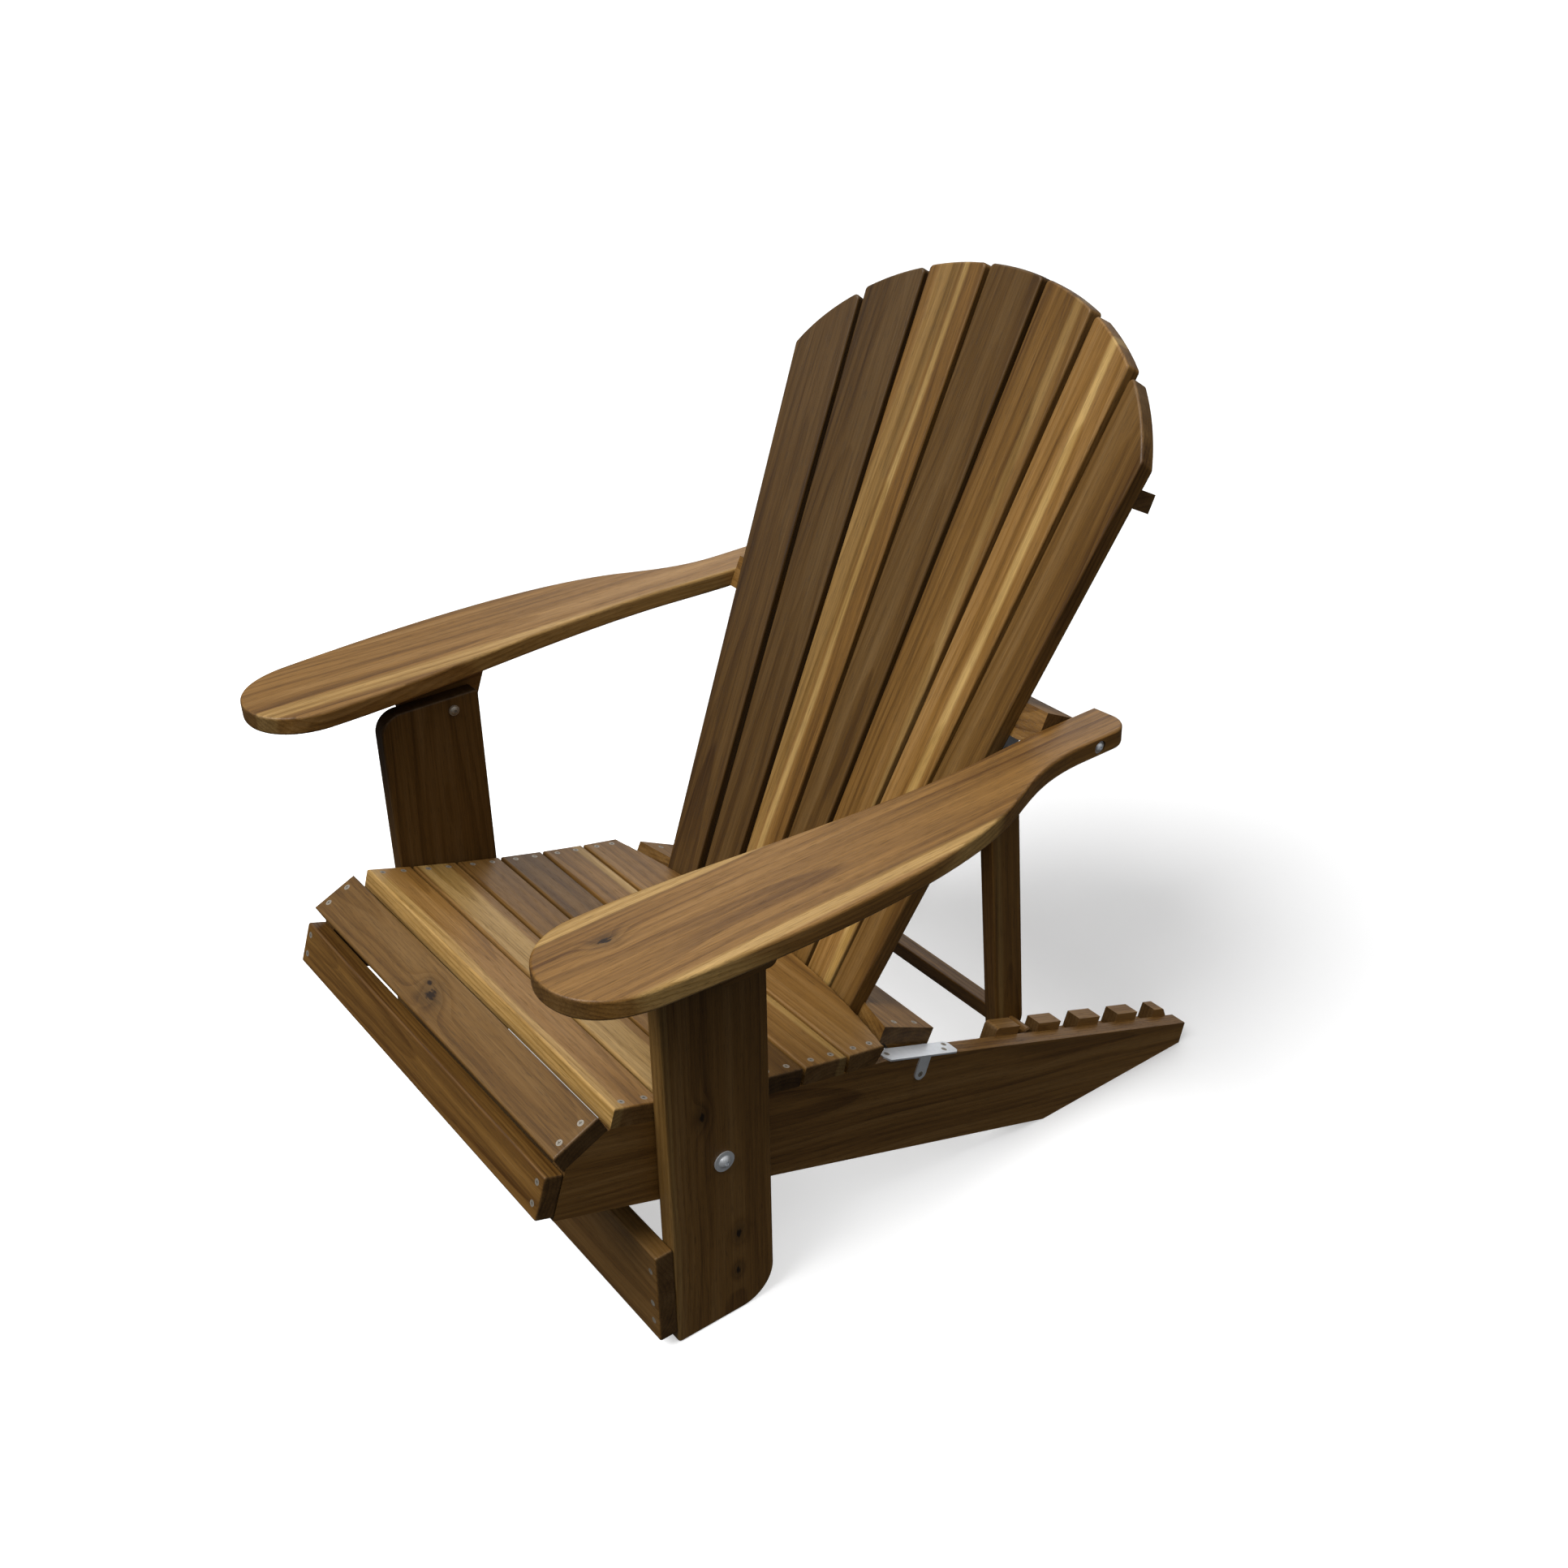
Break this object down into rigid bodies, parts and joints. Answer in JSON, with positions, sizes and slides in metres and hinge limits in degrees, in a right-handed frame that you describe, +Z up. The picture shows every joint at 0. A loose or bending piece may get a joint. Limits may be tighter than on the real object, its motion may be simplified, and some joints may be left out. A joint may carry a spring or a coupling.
{
  "type": "adirondack chair",
  "caption": "Reclining wooden adirondack chair with a rounded fan back, dished slatted seat, broad paddle arms and a prop frame that drops into notched racks.",
  "frame": {"origin": "on the floor, under the middle of the chair's outline", "axes": "+Z up, the chair faces -Y, +X is the sitter's left"},
  "size_m": [0.7788, 0.9078, 0.9217],
  "materials": {
    "brown_wood": "oiled, satin",
    "golden_wood": "oiled, satin",
    "dark_wood": "oiled, satin",
    "zinc_steel": "bright zinc plate"
  },
  "bodies": {
    "root": {"apron_screws": "zinc_steel", "front_apron": "brown_wood", "keeper_bracket_left": "zinc_steel", "keeper_bracket_right": "zinc_steel", "keeper_screws": "zinc_steel", "leg_bolt_nuts": "zinc_steel", "leg_bolts": "zinc_steel", "rack_left": "dark_wood", "rack_right": "dark_wood", "rack_screws": "zinc_steel", "seat_screws": "zinc_steel", "seat_slat_1": "brown_wood", "seat_slat_2": "brown_wood", "seat_slat_3": "golden_wood", "seat_slat_4": "dark_wood", "seat_slat_5": "brown_wood", "seat_slat_6": "golden_wood", "seat_slat_7": "dark_wood", "stringer_left": "golden_wood", "stringer_right": "golden_wood"},
    "legs": {"arm_pivot_bolts": "zinc_steel", "arm_pivot_nuts": "zinc_steel", "cross_board_screws": "zinc_steel", "front_leg_left": "brown_wood", "front_leg_right": "dark_wood", "leg_cross_board": "brown_wood"},
    "arm_left": {"arm_cleat_left": "brown_wood", "arm_left": "brown_wood", "cleat_screws_left": "zinc_steel"},
    "arm_right": {"arm_cleat_right": "brown_wood", "arm_right": "brown_wood", "cleat_screws_right": "zinc_steel"},
    "back": {"arm_tail_bolts": "zinc_steel", "back_pivot_block_left": "brown_wood", "back_pivot_block_right": "brown_wood", "back_pivot_pins": "zinc_steel", "back_slat_1": "dark_wood", "back_slat_2": "dark_wood", "back_slat_3": "golden_wood", "back_slat_4": "dark_wood", "back_slat_5": "brown_wood", "back_slat_6": "brown_wood", "back_slat_7": "dark_wood", "lower_back_rail": "brown_wood", "lower_rail_screws": "zinc_steel", "mid_back_rail": "brown_wood", "mid_rail_screws": "zinc_steel", "pivot_block_screws": "zinc_steel", "prop_clevis_left": "zinc_steel", "prop_clevis_right": "zinc_steel", "prop_clevis_screws": "zinc_steel", "prop_hinge_pins": "zinc_steel", "upper_back_rail": "brown_wood", "upper_rail_screws": "zinc_steel"},
    "prop": {"prop_bar": "brown_wood", "prop_dowels": "brown_wood", "prop_left": "golden_wood", "prop_right": "golden_wood"}
  },
  "joints": [
    {"name": "back_lift", "type": "hinge", "parent": "root", "child": "back", "pos_m": [0, 0.019, 0.1793], "axis": [1, 0, 0], "range_deg": [0, 7]},
    {"name": "leg_swing", "type": "hinge", "parent": "root", "child": "legs", "pos_m": [0, -0.2543, 0.2089], "axis": [1, 0, 0], "range_deg": [0, 9]},
    {"name": "arm_pivot_left", "type": "hinge", "parent": "legs", "child": "arm_left", "pos_m": [0.295, -0.2297, 0.4737], "axis": [1, 0, 0], "range_deg": [-6.5, 0]},
    {"name": "arm_pivot_right", "type": "hinge", "parent": "legs", "child": "arm_right", "pos_m": [-0.295, -0.2297, 0.4737], "axis": [1, 0, 0], "range_deg": [-6.5, 0]},
    {"name": "prop_swing", "type": "hinge", "parent": "back", "child": "prop", "pos_m": [0, 0.17, 0.487], "axis": [1, 0, 0], "range_deg": [0, 1.1]}
  ],
  "couplings": [
    {"joint": "leg_swing", "follows": "back_lift", "ratio": 1.265},
    {"joint": "arm_pivot_left", "follows": "back_lift", "ratio": -0.912},
    {"joint": "arm_pivot_right", "follows": "back_lift", "ratio": -0.912},
    {"joint": "prop_swing", "follows": "back_lift", "ratio": 0.15}
  ]
}
